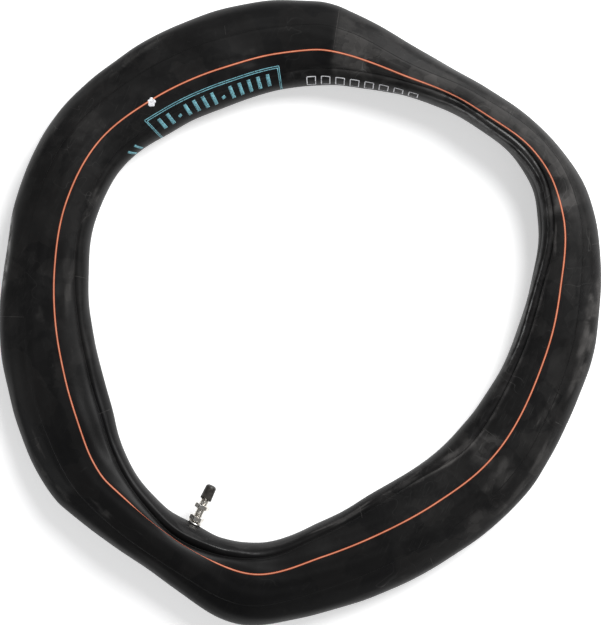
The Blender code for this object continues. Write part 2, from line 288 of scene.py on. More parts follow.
def smooth_ring(angle, around):
    """The smooth ring that the relief stands on. Its section is a little fuller than an oval."""
    radius, half_width, half_height = section_at(angle)
    floor = half_height * math.sin(FLAT_ANGLE)
    fullness = 0.18 * (1 - near(angle, VALVE_ANGLE, 7))
    rise = np.sin(around)
    up = half_height * rise * (1 + fullness - fullness * rise * rise)
    gap = up + floor  # below zero where the floor presses the section flat
    up = 0.5 * (gap + np.sqrt(gap * gap + (0.6 * MM) ** 2))
    out = radius + half_width * np.cos(around)
    outwards = (1 + np.cos(around)) / 2
    calm = 1 - near(angle, VALVE_ANGLE, 8)
    outer = bends(angle, OUTER_BENDS) + bends(angle, OUTER_CORNERS, corner)
    out = out + outer * outwards + calm * bends(angle, INNER_BENDS) * (1 - outwards)
    return np.stack([out * np.cos(angle) - CENTRE_X, out * np.sin(angle) - CENTRE_Y, up], -1)


def normal_at(angle, around):
    """The way out of the rubber at each point of the smooth ring."""
    step = 0.002
    along = smooth_ring(angle + step, around) - smooth_ring(angle - step, around)
    across = smooth_ring(angle, around + step * 4) - smooth_ring(angle, around - step * 4)
    normal = np.cross(along, across)
    return normal / np.linalg.norm(normal, axis=-1, keepdims=True)


def skin(angle, around, lift=0.0):
    """The finished skin at each point, or that far above it."""
    angle, around = np.broadcast_arrays(np.asarray(angle, float), np.asarray(around, float))
    base = smooth_ring(angle, around)
    height = relief(angle, around, base) + lift
    return base + normal_at(angle, around) * height[..., None]


# ---------------------------------------------------------------- meshes

def mesh_object(name, points, faces):
    mesh = bpy.data.meshes.new(name)
    mesh.from_pydata([tuple(p) for p in np.asarray(points, float).reshape(-1, 3)], [], faces)
    mesh.update()
    mesh.shade_smooth()
    thing = bpy.data.objects.new(name, mesh)
    bpy.context.scene.collection.objects.link(thing)
    return thing


def grid_faces(rows, columns, wrap_rows=True):
    """The faces between rows of points, each a closed loop. The last row may join the first."""
    r = np.arange(rows if wrap_rows else rows - 1)[:, None]
    c = np.arange(columns)[None, :]
    r2, c2 = (r + 1) % rows, (c + 1) % columns
    quads = np.stack([r * columns + c, r * columns + c2, r2 * columns + c2, r2 * columns + c], -1)
    return quads.reshape(-1, 4).tolist()


def turned_over(faces):
    return [face[::-1] for face in faces]


def set_attribute(thing, name, kind, values):
    attribute = thing.data.attributes.new(name, kind, "POINT")
    field = "vector" if kind == "FLOAT_VECTOR" else "value"
    attribute.data.foreach_set(field, np.asarray(values, np.float32).ravel())


def section_rows(angle):
    """The section's steps at one angle, closest together round the crease and in the narrow part's folds."""
    fine = np.linspace(-math.pi / 2, 1.5 * math.pi, 1400)
    _, half_width, _ = section_at(angle)
    across = (1 - np.cos(fine)) * half_width
    from_crease = across - crease_at(angle) * 2 * half_width
    upper = np.sin(fine) > -0.15
    density = 0.75 + 0.45 * upper
    density = density + 3.0 * upper * hump(from_crease, 0.0, 6 * MM)
    density = density + 1.2 * stretch(angle, 12, 84, 6) * upper * (from_crease > 0)
    total = np.concatenate([[0], np.cumsum((density[1:] + density[:-1]) / 2)])
    return np.interp(np.arange(SECTION_STEPS) / SECTION_STEPS * total[-1], total, fine)


def make_tube():
    """The rubber ring, with the values that its material reads at each point."""
    angles = np.arange(RING_STEPS) * TAU / RING_STEPS
    around = np.stack([section_rows(np.array(angle)) for angle in angles])
    angle = np.repeat(angles[:, None], SECTION_STEPS, 1)
    faces = turned_over(grid_faces(RING_STEPS, SECTION_STEPS))
    tube = mesh_object("tube_rubber", skin(angle, around), faces)
    # a place that changes little along the ring, for what is drawn out along it
    strip = np.stack([np.cos(angle), np.sin(angle), around * 30 * MM], -1)
    set_attribute(tube, "strip", "FLOAT_VECTOR", strip)
    set_attribute(tube, "talc_and_highlight", "FLOAT", talc_and_highlight_at(angle, around))
    set_attribute(tube, "gloss", "FLOAT", gloss_at(angle, around))
    return tube


# Patches of rubbed talc, and painted highlights: the rows at 194.5 degrees on the outer edge, at 41 degrees by
# the crease and the thin ones on the inner band at 14, 341.5, 326, 307 and 284 degrees are painted highlights.
# Each row: degrees, share of the width, half its length and width in mm, and how much.
TALC_AND_HIGHLIGHT_PATCHES = (
    (25.4, 0.15, 8.5, 6.0, 1.5), (19.0, 0.15, 10.0, 6.0, 1.7), (12.5, 0.12, 16.0, 5.0, 1.0),
    (29.0, 0.05, 14.0, 2.2, 1.2), (194.5, 0.035, 30.0, 1.6, 1.5), (197.0, 0.80, 26.0, 4.0, 0.7),
    (47.5, 0.44, 14.0, 7.0, 0.55), (61.0, 0.48, 20.0, 6.0, 0.6), (84.0, 0.50, 16.0, 7.0, 0.7),
    (69.0, 0.16, 6.0, 5.0, 0.9), (350.0, 0.10, 30.0, 3.5, 0.9), (336.0, 0.14, 22.0, 6.0, 0.5),
    (312.0, 0.06, 26.0, 2.5, 0.5), (250.0, 0.36, 9.0, 2.0, 0.8), (165.0, 0.40, 22.0, 9.0, 0.3),
    (348.0, 0.70, 15.0, 11.0, 1.0), (345.0, 0.36, 13.0, 8.0, 0.6), (2.0, 0.30, 16.0, 5.0, 0.7),
    (14.0, 0.93, 20.0, 1.6, 0.7), (341.5, 0.86, 15.0, 3.0, 1.1), (326.0, 0.93, 18.0, 1.8, 0.9),
    (128.0, 0.62, 16.0, 6.0, 0.4), (41.0, 0.76, 13.0, 1.6, 1.3), (307.0, 0.93, 26.0, 1.6, 1.3),
    (284.0, 0.95, 30.0, 1.4, 0.4), (226.0, 0.06, 7.0, 1.8, 2.0), (232.0, 0.16, 9.0, 1.4, 1.6),
    (237.0, 0.08, 12.0, 1.8, 2.0), (242.5, 0.14, 8.0, 2.0, 1.8), (178.0, 0.90, 16.0, 3.0, 0.6),
    (206.0, 0.48, 6.0, 3.0, 0.6), (149.0, 0.10, 24.0, 3.0, 0.6), (171.0, 0.08, 22.0, 3.0, 0.7),
)


def talc_and_highlight_at(angle, around):
    """How much talc is left on the rubber, with painted highlights along some edges and ridges: most on the
    upper faces of a few stretches.
    """
    radius, half_width, _ = section_at(angle)
    share = share_at(around)
    upper = np.clip(np.sin(around) * 3, 0, 1)
    between = soft_step((share - closed_curve(MOULD_LINE, angle)) * 90)
    between *= soft_step((crease_at(angle) - share) * 90)
    haze = stretch(angle, 46, 107.7, 1.1) * (0.50 + 0.80 * between)
    haze = haze + 0.26 * stretch(angle, 350, 46, 6) + 0.20 * stretch(angle, 318, 350, 6)
    haze = haze + 0.16 * stretch(angle, 130, 225, 8) + 0.05
    for degrees, place, half_long, half_wide, amount in TALC_AND_HIGHLIGHT_PATCHES:
        along = turned_from(angle, math.radians(degrees)) * radius / (half_long * MM)
        across = (share - place) * 2 * half_width / (half_wide * MM)
        way = np.arctan2(across, along)
        ragged = 0.28 * np.sin(3 * way + degrees) + 0.20 * np.sin(5 * way + 2 * degrees)
        haze = haze + amount * soft_step((1 + ragged - np.hypot(along, across)) * 9)
    from_crease = (share - crease_at(angle)) * 2 * half_width
    # a painted highlight: a pale streak along the second ridge's top
    haze = haze + 1.5 * stretch(angle, 327, 32, 4) * hump(from_crease, SECOND_RIDGE, 1.0 * MM)
    # a painted highlight: the outer edge paler between 330 and 75 degrees
    edge = stretch(angle, 330, 75, 8) * hump(share, 0.0, 0.05)
    return haze * upper + 0.5 * edge


def gloss_at(angle, around):
    """How shiny the rubber is: the rolled inner band is handled most."""
    share = share_at(around)
    upper = np.clip(np.sin(around) * 3, 0, 1)
    from_crease = (share - crease_at(angle)) * 2 * section_at(angle)[1]
    band = hump(from_crease, 3.4 * MM, 2.6 * MM)
    places = 0.9 * stretch(angle, 10, 82, 5) + 1.0 * stretch(angle, 110, 120, 2)
    places = places + 0.5 * stretch(angle, 330, 10, 8) + 0.35 * stretch(angle, 275, 300, 5)
    edge = stretch(angle, 187, 200, 2) * hump(share, 0.035, 0.03)
    return np.clip((band * places + edge) * upper, 0, 1)


BURIED = 0.25 * MM  # how far a strip's underside is below the skin
STROKE_STEP = 0.8 * MM
WHOLE_RING = np.arange(1500) * TAU / 1500


def dot(p, q):
    return np.sum(p * q, -1)


def steps_towards(side, angle, around):
    """How much the angle and the place round the section change for each metre that way on the ring."""
    step = 0.001
    by_around = (smooth_ring(angle, around + step) - smooth_ring(angle, around - step)) / (2 * step)
    by_angle = (smooth_ring(angle + step, around) - smooth_ring(angle - step, around)) / (2 * step)
    aa, bb, ab = dot(by_angle, by_angle), dot(by_around, by_around), dot(by_angle, by_around)
    sa, sb = dot(side, by_angle), dot(side, by_around)
    scale = aa * bb - ab * ab
    return (sa * bb - sb * ab) / scale, (sb * aa - sa * ab) / scale


def strip_on_skin(angle, around, width, lift, rows=5, closed=False):
    """The points and faces of a thin strip along a line on the skin. Its middle stands out by the lift."""
    centre = smooth_ring(angle, around)
    if closed:
        ahead = np.roll(centre, -1, 0) - np.roll(centre, 1, 0)
    else:
        ahead = np.gradient(centre, axis=0)
    side = np.cross(normal_at(angle, around), ahead)
    side /= np.linalg.norm(side, axis=-1, keepdims=True)
    step_angle, step_around = steps_towards(side, angle, around)
    top, under = [], []
    for place in np.linspace(-1, 1, rows):
        a = angle + step_angle * place * width / 2
        b = around + step_around * place * width / 2
        top.append(skin(a, b, lift * (1 - place ** 4)))
        under.append(skin(a, b, -BURIED))
    loop = np.stack(top + under[::-1], 1)
    count, sides = loop.shape[:2]
    faces = grid_faces(count, sides, wrap_rows=closed)
    if not closed:
        last = (count - 1) * sides
        faces.append(list(range(sides))[::-1])
        faces.append([last + k for k in range(sides)])
    return loop.reshape(-1, 3), turned_over(faces)


def join(parts):
    """One set of points and faces from several."""
    points, faces, first = [], [], 0
    for some_points, some_faces in parts:
        points.append(some_points)
        faces += [[first + k for k in face] for face in some_faces]
        first += len(some_points)
    return np.concatenate(points), faces


def line_on_skin(start, end, width, lift):
    """A straight stroke between two (degrees, around) places."""
    a0, b0 = math.radians(start[0]), start[1]
    a1, b1 = math.radians(end[0]), end[1]
    ends = skin(np.array([a0, a1]), np.array([b0, b1]))
    count = max(3, int(np.linalg.norm(ends[1] - ends[0]) / STROKE_STEP) + 2)
    t = np.linspace(0, 1, count)
    return strip_on_skin(a0 + (a1 - a0) * t, b0 + (b1 - b0) * t, width, lift)


def ride(thing, body, slot, material, *replaced):
    """Give a piece its material and body, and say which CAD nodes it replaces. The slot is not used."""
    thing.data.materials.clear()
    thing.data.materials.append(material)
    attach(thing, body)
    if replaced:
        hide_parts(*replaced)
    return thing


# ---------------------------------------------------------------- materials

class Nodes:
    """A material's nodes, with short calls for those used here."""

    def __init__(self, name):
        self.material = bpy.data.materials.new(name)
        self.material.use_nodes = True
        self.tree = self.material.node_tree
        self.shader = self.tree.nodes["Principled BSDF"]

    def link(self, value, socket):
        if isinstance(value, bpy.types.NodeSocket):
            self.tree.links.new(value, socket)
        else:
            socket.default_value = value

    def add(self, kind, **inputs):
        node = self.tree.nodes.new(kind)
        for name, value in inputs.items():
            self.link(value, node.inputs[name.replace("_", " ")])
        return node

    def attribute(self, name, vector=False):
        node = self.tree.nodes.new("ShaderNodeAttribute")
        node.attribute_name = name
        return node.outputs["Vector" if vector else "Fac"]

    def place(self):
        return self.tree.nodes.new("ShaderNodeTexCoord").outputs["Object"]

    def mapped(self, vector, scale, turned=0.0):
        rotation = (0.0, 0.0, math.radians(turned))
        return self.add("ShaderNodeMapping", Vector=vector, Scale=scale, Rotation=rotation).outputs[0]

    def cells(self, vector, scale, ragged):
        """A random number for each of many polygons with slightly ragged edges."""
        shifted = self.add("ShaderNodeTexNoise", Vector=vector, Scale=scale * 2.5)
        moved = self.tree.nodes.new("ShaderNodeVectorMath")
        moved.operation = "MULTIPLY_ADD"
        for value, socket in zip((shifted.outputs["Color"], (ragged,) * 3, vector), moved.inputs):
            self.link(value, socket)
        cell = self.add("ShaderNodeTexVoronoi", Vector=moved.outputs[0], Scale=scale)
        return self.add("ShaderNodeSeparateColor", Color=cell.outputs["Color"]).outputs[0]

    def noise(self, vector, scale, detail=3.0, rough=0.55, distortion=0.0):
        node = self.add(
            "ShaderNodeTexNoise",
            Vector=vector, Scale=scale, Detail=detail, Roughness=rough, Distortion=distortion,
        )
        return node.outputs["Fac"]

    def ramp(self, value, low, high, to_low=0.0, to_high=1.0):
        node = self.tree.nodes.new("ShaderNodeMapRange")
        node.interpolation_type = "SMOOTHSTEP"
        for name, number in zip(
            ("Value", "From Min", "From Max", "To Min", "To Max"), (value, low, high, to_low, to_high)
        ):
            self.link(number, node.inputs[name])
        return node.outputs["Result"]

    def math(self, operation, a, b=0.0, clamp=False):
        node = self.tree.nodes.new("ShaderNodeMath")
        node.operation = operation
        node.use_clamp = clamp
        self.link(a, node.inputs[0])
        self.link(b, node.inputs[1])
        return node.outputs[0]

    def times(self, a, b, clamp=False):
        return self.math("MULTIPLY", a, b, clamp)

    def plus(self, a, b, clamp=False):
        return self.math("ADD", a, b, clamp)

    def mix(self, share, a, b):
        node = self.tree.nodes.new("ShaderNodeMix")
        node.data_type = "RGBA"
        self.link(share, node.inputs["Factor"])
        for value, socket in ((a, node.inputs[6]), (b, node.inputs[7])):
            self.link((*value, 1.0) if isinstance(value, tuple) else value, socket)
        return node.outputs[2]

    def bump(self, height, distance, strength=1.0, normal=None):
        node = self.add("ShaderNodeBump", Height=height, Distance=distance, Strength=strength)
        if normal is not None:
            self.link(normal, node.inputs["Normal"])
        return node.outputs[0]

    def hairline(self, vector, scale, width, sparse_scale, sparse_low):
        """Thin wandering lines, in patches."""
        line = self.noise(vector, scale, 1.0, 0.5, 0.6)
        off = self.math("ABSOLUTE", self.math("SUBTRACT", line, 0.5))
        thin = self.ramp(off, 0.0, width, 1.0, 0.0)
        patch = self.ramp(self.noise(vector, sparse_scale, 1.0), sparse_low, sparse_low + 0.08)
        return self.times(thin, patch)

    def finish(self, **inputs):
        for name, value in inputs.items():
            self.link(value, self.shader.inputs[name.replace("_", " ")])
        return self.material


def talc_haze(n, place, streak, blotch, cloud, large):
    """How white the talc looks: blotches, flakes, ragged smudges and streaks."""
    flake = n.noise(place, 44.0, 2.0, 0.5, 1.4)
    small = n.cells(place, 90.0, 0.006)
    smudge = n.plus(n.ramp(large, 0.55, 0.62, 0.0, 0.20), n.ramp(small, 0.80, 0.84, 0.0, 0.26))
    haze = n.times(n.ramp(blotch, 0.42, 0.66, 0.05, 0.50), n.ramp(cloud, 0.35, 0.62, 0.4, 1.0))
    haze = n.plus(haze, n.ramp(flake, 0.55, 0.58, 0.0, 0.16))
    haze = n.plus(haze, smudge)
    return n.plus(haze, n.ramp(streak, 0.46, 0.72, 0.16, 0.38), clamp=True)


# Short straight scratches: the way that they run in degrees, how fine they are and how rare.
DASHES = ((38.0, 1500.0, 0.70), (-64.0, 1300.0, 0.71), (8.0, 1700.0, 0.72))


def scratches(n, place, strip, cloud):
    """Wandering scratches, scratches along the ring, and short straight ones in patches."""
    marks = n.hairline(place, 34.0, 0.0035, 18.0, 0.52)
    along = n.hairline(n.mapped(strip, (10.0, 10.0, 120.0)), 1.0, 0.004, 1.3, 0.54)
    marks = n.plus(marks, n.times(along, 0.7), clamp=True)
    for turned, fine, rare in DASHES:
        dash = n.noise(n.mapped(place, (fine, 55.0, 55.0), turned), 1.0, 1.0, 0.5)
        dash = n.times(n.ramp(dash, rare, rare + 0.05, 0.0, 0.5), n.ramp(cloud, 0.46, 0.60))
        marks = n.plus(marks, dash, clamp=True)
    return marks


def rubber_material(name, fixed_talc_and_highlight=None):
    """Satin black butyl with talc haze and painted highlights, smudges, streaks, scratches and a fine grain.

    Without a fixed amount, the talc with its painted highlights and the gloss are read from the mesh.
    """
    n = Nodes(name)
    place = n.place()
    if fixed_talc_and_highlight is None:
        strip = n.attribute("strip", vector=True)
        talc_and_highlight, gloss = n.attribute("talc_and_highlight"), n.attribute("gloss")
    else:
        strip = n.mapped(place, (4.0, 4.0, 4.0))
        talc_and_highlight, gloss = fixed_talc_and_highlight, 0.0
    streak = n.noise(n.mapped(strip, (9.0, 9.0, 210.0)), 1.0, 3.0, 0.55)
    blotch = n.noise(place, 26.0, 5.0, 0.62, 0.4)
    cloud = n.noise(place, 9.0, 2.0, 0.5)
    large = n.cells(place, 34.0, 0.012)
    haze = n.times(talc_haze(n, place, streak, blotch, cloud, large), talc_and_highlight)
    marks = scratches(n, place, strip, cloud)
    marks = n.times(marks, n.plus(talc_and_highlight, 0.10, clamp=True))

    black = n.mix(n.ramp(large, 0.0, 1.0), (0.0026, 0.0026, 0.0028), (0.0044, 0.0042, 0.0042))
    # the talc's whiteness, which along some edges and ridges is a painted highlight
    talc_and_highlight_colour = n.mix(n.times(haze, 0.55, clamp=True), black, (0.066, 0.063, 0.061))
    colour = n.mix(n.times(marks, 0.40), talc_and_highlight_colour, (0.15, 0.147, 0.143))
    roughness = n.ramp(blotch, 0.25, 0.75, 0.40, 0.47)
    roughness = n.plus(roughness, n.times(haze, 0.22))
    roughness = n.math("SUBTRACT", roughness, n.times(gloss, 0.10), clamp=True)
    broken = n.ramp(n.noise(n.mapped(strip, (26.0, 26.0, 160.0)), 1.0, 3.0, 0.6), 0.40, 0.58)
    coat = n.times(n.times(gloss, broken), 0.85, clamp=True)
    grain = n.bump(n.noise(place, 1500.0, 2.0, 0.6), 0.00006, 0.6)
    uneven = n.plus(n.times(streak, 0.35), n.times(blotch, 0.8))
    bump = n.bump(uneven, 0.0005, 0.35, grain)
    return n.finish(
        Base_Color=colour, Roughness=roughness, Normal=bump, Specular_IOR_Level=0.14,
        Coat_Weight=coat, Coat_Roughness=0.22,
    )


def ink_material(name, full, worn, coverage=0.28):
    """A printed or extruded colour, a little uneven and worn through in specks."""
    n = Nodes(name)
    place = n.place()
    tone = n.noise(place, 120.0, 3.0)
    speck = n.noise(place, 900.0, 2.0, 0.7)
    shade = n.mix(n.ramp(tone, 0.3, 0.7), full, worn)
    colour = n.mix(n.ramp(speck, coverage, coverage + 0.1, 0.75, 0.0), shade, (0.02, 0.02, 0.02))
    roughness = n.ramp(speck, 0.3, 0.7, 0.62, 0.48)
    return n.finish(
        Base_Color=colour, Roughness=roughness, Normal=n.bump(speck, 0.00005, 0.5),
        Specular_IOR_Level=0.35,
    )


def metal_material(name, bright, dull, rough_low, rough_high):
    """Plated or turned metal: fine turning lines, and duller where it has been handled."""
    n = Nodes(name)
    place = n.place()
    lines = n.noise(n.mapped(place, (60.0, 2600.0, 60.0)), 1.0, 2.0, 0.6)
    stain = n.noise(place, 260.0, 4.0, 0.65)
    colour = n.mix(n.ramp(stain, 0.42, 0.72), bright, dull)
    uneven = n.plus(n.times(stain, 0.7), n.times(lines, 0.3))
    roughness = n.ramp(uneven, 0.3, 0.7, rough_low, rough_high)
    return n.finish(
        Base_Color=colour, Roughness=roughness, Metallic=1.0, Normal=n.bump(lines, 0.00003, 0.35)
    )


def plastic_material(name, dark, light):
    """Moulded plastic with a fine spark-eroded texture and paler scuffs."""
    n = Nodes(name)
    place = n.place()
    texture = n.noise(place, 2200.0, 2.0, 0.6)
    scuff = n.noise(place, 380.0, 4.0, 0.65)
    colour = n.mix(n.ramp(scuff, 0.4, 0.72), dark, light)
    return n.finish(
        Base_Color=colour, Roughness=n.ramp(scuff, 0.3, 0.7, 0.38, 0.55),
        Normal=n.bump(texture, 0.00005, 0.6), Specular_IOR_Level=0.45,
    )


# ---------------------------------------------------------------- the valve

def valve_axis():
    """Where the valve's axis is, in x and z."""
    low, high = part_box("valve_stem")
    return (low.x + high.x) / 2, (low.z + high.z) / 2

AXIS_X, AXIS_Z = valve_axis()


def span(node):
    """A node's lowest and highest place along the valve."""
    low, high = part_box(node)
    return low.y, high.y


def lathe(name, rows, steps, shape, closed=True):
    """A solid turned about the valve's axis from (radius, place along the axis) rows.

    The rows run down the outside and, if closed, on up the inside. If not, both ends close on the axis.
    shape(radius, y, turn) gives the points' own radius and place along the axis.
    """
    turn = np.arange(steps) * TAU / steps
    radius = np.array([r for r, _ in rows], float)[:, None] + 0 * turn[None, :]
    y = np.array([h for _, h in rows], float)[:, None] + 0 * turn[None, :]
    radius, y = shape(radius, y, turn[None, :])
    points = np.stack([AXIS_X + radius * np.cos(turn), y, AXIS_Z + radius * np.sin(turn)], -1)
    points = points.reshape(-1, 3)
    faces = grid_faces(len(rows), steps, wrap_rows=closed)
    if not closed:
        first, last = len(points), len(points) + 1
        ends = [[AXIS_X, rows[0][1], AXIS_Z], [AXIS_X, rows[-1][1], AXIS_Z]]
        points = np.concatenate([points, ends])
        low = (len(rows) - 1) * steps
        for k in range(steps):
            k2 = (k + 1) % steps
            faces.append([first, k2, k])
            faces.append([last, low + k, low + k2])
    thing = mesh_object(name, points, faces)
    thing.data.set_sharp_from_angle(angle=math.radians(38))
    return thing


def run(start, end, spacing):
    """Rows between two (radius, y) points, without the last."""
    count = max(1, round(math.dist(start, end) / spacing))
    t = np.arange(count) / count
    return [(start[0] + (end[0] - start[0]) * s, start[1] + (end[1] - start[1]) * s) for s in t]


def outline(points, spacing):
    """Rows along the lines between several (radius, y) points."""
    rows = []
    for start, end in zip(points, points[1:]):
        rows += run(start, end, spacing)
    return rows + [points[-1]]


THREAD_PITCH = 25.4 / 32 * MM
THREAD_DEPTH = 0.42 * MM
STEM_RADIUS = 3.85 * MM


def make_stem(metal):
    """The threaded stem, with its foot inside the tube and the bore that holds the core."""
    low, high = span("valve_stem")
    foot_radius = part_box("valve_stem")[1].x - AXIS_X
    foot_top = low + 3.2 * MM
    bore, air_bore = 2.9 * MM, 2.3 * MM
    outside = outline(
        [
            (bore + 0.35 * MM, high), (STEM_RADIUS - 0.45 * MM, high), (STEM_RADIUS, high - 0.5 * MM),
            (STEM_RADIUS, foot_top), (foot_radius - 0.3 * MM, low + 1.1 * MM), (foot_radius, low + 0.8 * MM),
            (foot_radius, low + 0.2 * MM), (foot_radius - 0.2 * MM, low), (air_bore, low),
        ],
        0.1 * MM,
    )
    inside = [(air_bore, high - 11.8 * MM), (bore, high - 11.2 * MM), (bore, high - 0.4 * MM)]

    def thread(radius, y, turn):
        place = np.mod((y - low) / THREAD_PITCH + turn / TAU, 1.0)
        tooth = np.clip(np.abs(place - 0.5) * 2 * 1.25 - 0.1, 0, 1)
        fade = np.clip((y - foot_top - 3 * MM) / (1.5 * MM), 0, 1) * np.clip((high - y) / (0.9 * MM), 0, 1)
        outer = radius > STEM_RADIUS - 0.02 * MM
        return radius - THREAD_DEPTH * tooth * fade * outer, y

    stem = lathe("stem_threaded", outside + inside, 72, thread)
    return ride(stem, "tube", "nickel_plate", metal, "valve_stem")


ACROSS_FLATS = 12.0 * MM
NUT_HOLE = 3.98 * MM
NUT_TURN = 9  # degrees that the nuts stand turned from having a flat straight up
CORNER_WEAR = 0.10 * MM


def make_nut(name, node, body, metal):
    """A hexagon nut, chamfered at 30 degrees at both ends, with softened corners."""
    low, high = span(node)
    flat = ACROSS_FLATS / 2
    corners = ACROSS_FLATS / math.sqrt(3)
    end, lip = 1.2 * MM, 0.35 * MM
    rows = run((NUT_HOLE + lip, high), (corners, high), 0.5 * MM)
    rows += run((corners, high), (corners, high - end), 0.08 * MM)
    rows += run((corners, high - end), (corners, low + end), 0.4 * MM)
    rows += run((corners, low + end), (corners, low), 0.08 * MM)
    rows += [(corners, low), (NUT_HOLE + lip, low), (NUT_HOLE, low + lip), (NUT_HOLE, high - lip)]

    def hexagon(radius, y, turn):
        off = np.mod(turn + math.radians(NUT_TURN) + math.pi / 3, math.pi / 3) - math.pi / 6
        sides = flat / np.cos(off) - CORNER_WEAR * (np.abs(off) / (math.pi / 6)) ** 12
        cone = flat * 0.97 + np.minimum(high - y, y - low) / math.tan(math.radians(30))
        outer = radius > NUT_HOLE + 0.4 * MM
        return np.where(outer, np.minimum(radius, np.minimum(sides, cone)), radius), y

    nut = lathe(name, rows, 120, hexagon)
    return ride(nut, body, "nickel_plate", metal, node)


def make_cap(plastic):
    """The screw cap: a fluted skirt with notches round its open end, a rounded shoulder and a dimpled top."""
    low, high = span("valve_cap")
    skirt, shoulder, inner = 5.2 * MM, 4.85 * MM, 4.15 * MM
    rounding = 2.7 * MM
    arc = [
        (shoulder - rounding + rounding * math.cos(a), high - rounding + rounding * math.sin(a))
        for a in np.radians(np.linspace(88, 2, 14))
    ]
    outside = [(0.9 * MM, high - 0.15 * MM), (1.9 * MM, high - 0.02 * MM)] + arc
    outside += outline([arc[-1], (skirt, low + 0.25 * MM)], 0.22 * MM)[1:]
    rows = outside + [
        (skirt - 0.25 * MM, low), (inner + 0.2 * MM, low), (inner, low + 0.3 * MM),
        (inner, high - 2.6 * MM), (inner - 0.2 * MM, high - 2.5 * MM),
    ]
    feet, notch = 10, 1.9 * MM
    rib_top, rib_depth = high - 3.8 * MM, 0.16 * MM

    def ribbed(radius, y, turn):
        wave = np.cos(feet * (turn + 0.15))
        groove = np.clip(0.5 - 2.2 * wave, 0, 1)
        fade = np.clip((rib_top - y) / (1.6 * MM), 0, 1)
        skirt_side = radius > inner + 0.3 * MM
        shallow = radius - rib_depth * groove * fade * skirt_side
        # notches between the feet at the open end
        lowest = low + notch * np.clip(0.2 - 3.0 * wave, 0, 1)
        top = low + 2 * notch
        return shallow, np.where(y < top, lowest + (y - low) / (top - low) * (top - lowest), y)

    cap = lathe("cap_ribbed", rows, 192, ribbed, closed=False)
    return ride(cap, "cap", "cap_plastic", plastic, "valve_cap")


def wall_place(x, z, offset=0.0):
    """The angle and the place round the section where the ring's smooth inner wall is at (x, z)."""
    angle = np.full(np.broadcast(x, z).shape, math.radians(VALVE_ANGLE))
    for _ in range(8):
        radius, half_width, half_height = section_at(angle)
        rise = (z - half_height * math.sin(FLAT_ANGLE)) / (half_height + offset)
        rise = np.clip(rise, -0.98, 0.98)
        out = radius - (half_width + offset) * np.sqrt(1 - rise * rise)
        angle = np.arctan2(-np.sqrt(out * out - (x + CENTRE_X) ** 2), x + CENTRE_X)
    return angle, math.pi - np.arcsin(rise)


def wall_y(x, z, offset):
    """How far along Y the smooth inner wall is at (x, z), that far above the rubber."""
    angle, around = wall_place(x, z, offset)
    radius, half_width, _ = section_at(angle)
    return (radius + (half_width + offset) * np.cos(around)) * np.sin(angle) - CENTRE_Y


STEM_HOLE = 4.2 * MM  # half the width of the hole in the pad and in the washer


def layer(name, half_x, half_z, steps, rows, place_at, sharp):
    """A layer on the inner wall round the stem, from rows that run over its top and back under it.

    A row is a share of the way out from the hole and a height in mm. place_at(x, z, height) gives its points.
    Edges sharper than sharp, in degrees, are shaded so.
    """
    turn = np.arange(steps) * TAU / steps
    points = []
    for share, height in rows:
        x = AXIS_X + np.cos(turn) * (STEM_HOLE + (half_x - STEM_HOLE) * share)
        z = AXIS_Z + np.sin(turn) * (STEM_HOLE + (half_z - STEM_HOLE) * share)
        points.append(place_at(x, z, height * MM))
    thing = mesh_object(name, np.concatenate(points), grid_faces(len(rows), steps))
    thing.data.set_sharp_from_angle(angle=math.radians(sharp))
    return thing


def make_patch(rubber):
    """The rubber pad bonded on round the stem: it follows the skin and thins to a feathered edge."""
    def on_skin(x, z, height):
        return skin(*wall_place(x, z), height)

    low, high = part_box("valve_patch")
    shares = np.linspace(0, 1, 36)
    rows = [(s, -0.05 + 1.15 * (1 - s * s) ** 1.3) for s in shares] + [(s, -0.3) for s in shares[::-1]]
    half_x, half_z = (high.x - low.x) / 2, (high.z - low.z) / 2
    patch = layer("valve_pad", half_x, half_z, 120, rows, on_skin, 35)
    return ride(patch, "tube", "patch_rubber", rubber, "valve_patch")


def make_washer(metal):
    """The bridge washer, curved to the tube's wall."""
    def on_wall(x, z, height):
        return np.stack([x, wall_y(x, z, height), z], -1)

    radius = 6.7 * MM
    shares = np.linspace(0, 1, 16)
    rows = [(s, 3.5 - 0.5 * s ** 10) for s in shares] + [(s, 2.0 + 0.3 * s ** 10) for s in shares[::-1]]
    washer = layer("washer_curved", radius, radius, 72, rows, on_wall, 45)
    return ride(washer, "tube", "nickel_plate", metal, "bridge_washer")


def make_spring(steel):
    """The core's closing spring, a round wire with closed ends. The real one flattens as the pin is pressed;
    this mesh does not.
    """
    low, high = span("core_spring")
    wire, coil, turns, steps, sides = 0.13 * MM, 1.0 * MM, 7.0, 36, 8
    end, end_fall = 0.10, 0.07  # the shares of the wire and of the height that each closed end takes
    count = int(turns * steps) + 1
    turn = np.arange(count) * TAU / steps
    t = np.linspace(0, 1, count)
    fall = np.clip((t - end) / (1 - 2 * end), 0, 1) * (1 - 2 * end_fall) + np.clip(t / end, 0, 1) * end_fall
    fall = fall + np.clip((t - 1 + end) / end, 0, 1) * end_fall
    y = high - wire - fall * (high - low - 2 * wire)
    ring = np.arange(sides) * TAU / sides
    radial = np.stack([np.cos(turn), 0 * turn, np.sin(turn)], -1)
    centre = radial * coil + np.stack([AXIS_X + 0 * y, y, AXIS_Z + 0 * y], -1)
    up = np.array([0.0, 1.0, 0.0])
    points = centre[:, None] + wire * (
        np.cos(ring)[None, :, None] * radial[:, None] + np.sin(ring)[None, :, None] * up
    )
    faces = grid_faces(count, sides, wrap_rows=False)
    last = (count - 1) * sides
    faces += [list(range(sides))[::-1], [last + k for k in range(sides)]]
    spring = mesh_object("spring_coil", points.reshape(-1, 3), faces)
    ride(spring, "tube", "spring_steel", steel, "core_spring")
    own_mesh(spring)
    return spring


# ---------------------------------------------------------------- marks on the rubber

PRINT_LIFT = 0.06 * MM
MOULDED_LIFT = 0.16 * MM
PRINT_START, PRINT_END = 154.4, 120.2  # degrees that the frame round the size runs between

